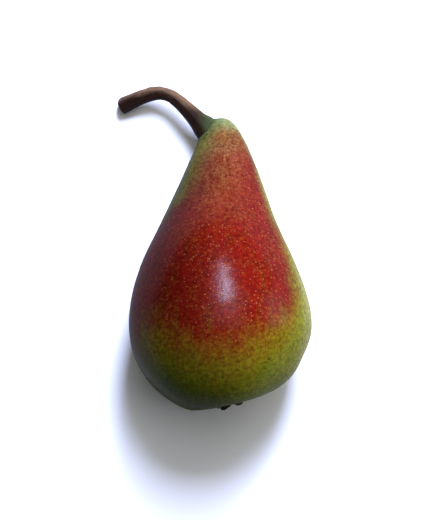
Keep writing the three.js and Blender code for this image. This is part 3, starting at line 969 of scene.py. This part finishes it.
class PEAR_OT_calyx(Operator):
    """Adds the dried flower remains: the cup, the sepals and the stamens"""

    bl_idname = "pear.calyx"
    bl_label = "Calyx"

    def execute(self, context):
        settings = context.scene.pear_calyx
        blades = []
        for k, length in enumerate(SEPAL_LENGTHS):
            angle = SEPAL_FIRST_ANGLE + k / len(SEPAL_LENGTHS) * 2 * np.pi
            blade = sepal_surface(angle, length, SEPAL_SEED + SEPAL_SEED_STEP * k, settings.thickness)
            blades.append(mesh_from_grid("sepal", at_blossom_end(blade)))
        rods = []
        for k, angle in enumerate(angles_round(settings.stamens)):
            rod = stamen_surface(angle, STAMEN["tip_height"] - STAMEN["shorter"] * (k % 3))
            rods.append(mesh_from_grid("stamen", at_blossom_end(rod)))
        cup = mesh_from_grid("calyx_cup", at_blossom_end(cup_surface()))
        finish = dry_finish(settings)
        for name, mesh in (("calyx_cup", cup), ("sepals", join_meshes("sepals", blades)),
                           ("stamens", join_meshes("stamens", rods))):
            add_piece(name, mesh, finish, "calyx")
        return {"FINISHED"}


def add_light(name, form, power):
    """Adds a rectangular light in its direction from the target, turned to look at the target."""
    light = bpy.data.lights.new(name, "AREA")
    light.energy = power
    light.shape = "RECTANGLE"
    light.size = form["width"]
    light.size_y = form["height"]
    light.color = form["colour"]
    lamp = add_to_scene(name, light)
    way = -form["distance"] * unit(np.array(form["direction"]))
    lamp.location = np.array(LIGHT_TARGET) - way
    tilt = math.atan2(math.hypot(way[0], way[1]), -way[2])
    lamp.rotation_euler = (tilt, 0, math.atan2(way[0], -way[1]) + math.pi)


def add_floor(settings):
    """Adds the plain floor, just below the pear."""
    mesh = bpy.data.meshes.new("floor")
    corners = [(x * FLOOR_HALF_WIDTH, y * FLOOR_HALF_WIDTH, FLOOR_LEVEL)
               for x, y in ((-1, -1), (1, -1), (1, 1), (-1, 1))]
    mesh.from_pydata(corners, [], [(0, 1, 2, 3)])
    add_to_scene("floor", mesh)
    make = Finish("floor_white")
    mesh.materials.append(make.finished(Base_Color=colour(settings.floor), Roughness=0.7))


def add_room(context, settings):
    """Lights the pear evenly with a weak sky, and shows a plain room behind the floor instead of it."""
    world = bpy.data.worlds.new("studio")
    context.scene.world = world
    world.use_nodes = True
    tree = world.node_tree
    sky = tree.nodes["Background"]
    sky.inputs["Color"].default_value = colour(settings.sky_colour)
    sky.inputs["Strength"].default_value = settings.sky
    room = tree.nodes.new("ShaderNodeBackground")
    room.inputs["Color"].default_value = colour(settings.room_colour)
    room.inputs["Strength"].default_value = settings.room
    seen = tree.nodes.new("ShaderNodeLightPath")
    blend = tree.nodes.new("ShaderNodeMixShader")
    tree.links.new(seen.outputs["Is Camera Ray"], blend.inputs[0])
    tree.links.new(sky.outputs[0], blend.inputs[1])
    tree.links.new(room.outputs[0], blend.inputs[2])
    tree.links.new(blend.outputs[0], tree.nodes["World Output"].inputs["Surface"])


def add_camera(context):
    """Adds the photograph's camera."""
    camera = add_to_scene("camera", bpy.data.cameras.new("camera"))
    camera.data.sensor_width = SENSOR
    camera.data.lens = SENSOR * FOCAL_LENGTH_PX / PHOTO_HEIGHT_PX
    camera.data.clip_start = NEAREST_SEEN
    camera.location = CAMERA_PLACE
    context.scene.camera = camera


class PEAR_OT_stage(Operator):
    """Adds the floor, the soft light and the camera"""

    bl_idname = "pear.stage"
    bl_label = "Stage"

    def execute(self, context):
        settings = context.scene.pear_stage
        add_floor(settings)
        add_light("window_light", WINDOW_LIGHT, settings.key)
        add_light("ceiling_light", CEILING_LIGHT, settings.ceiling)
        add_light("side_light", SIDE_LIGHT, settings.side)
        add_room(context, settings)
        add_camera(context)
        context.scene.view_settings.view_transform = "Standard"
        return {"FINISHED"}


class PEAR_PT_panel(Panel):
    """Lists the pieces and their settings"""

    bl_label = "Pear"
    bl_space_type = "VIEW_3D"
    bl_region_type = "UI"
    bl_category = "Pear"

    def draw(self, context):
        for operator, group in (("pear.fruit", "pear_fruit"), ("pear.stem", "pear_stem"),
                                ("pear.calyx", "pear_calyx"), ("pear.stage", "pear_stage")):
            box = self.layout.box()
            settings = getattr(context.scene, group)
            for key in settings.__annotations__:
                box.prop(settings, key)
            box.operator(operator)


SETTINGS = {
    "pear_fruit": FruitSettings,
    "pear_stem": StemSettings,
    "pear_calyx": CalyxSettings,
    "pear_stage": StageSettings,
}
CLASSES = (*SETTINGS.values(), PEAR_OT_fruit, PEAR_OT_stem, PEAR_OT_calyx, PEAR_OT_stage, PEAR_PT_panel)


def register():
    """Registers the classes and puts their settings on the scene."""
    for made in CLASSES:
        bpy.utils.register_class(made)
    for name, group in SETTINGS.items():
        setattr(bpy.types.Scene, name, PointerProperty(type=group))


def unregister():
    """Takes away what register added."""
    for name in SETTINGS:
        delattr(bpy.types.Scene, name)
    for made in reversed(CLASSES):
        bpy.utils.unregister_class(made)


def main():
    """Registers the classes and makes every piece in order."""
    register()
    bpy.ops.pear.stage()
    bpy.ops.pear.fruit()
    bpy.ops.pear.stem()
    bpy.ops.pear.calyx()


if __name__ == "__main__":
    main()
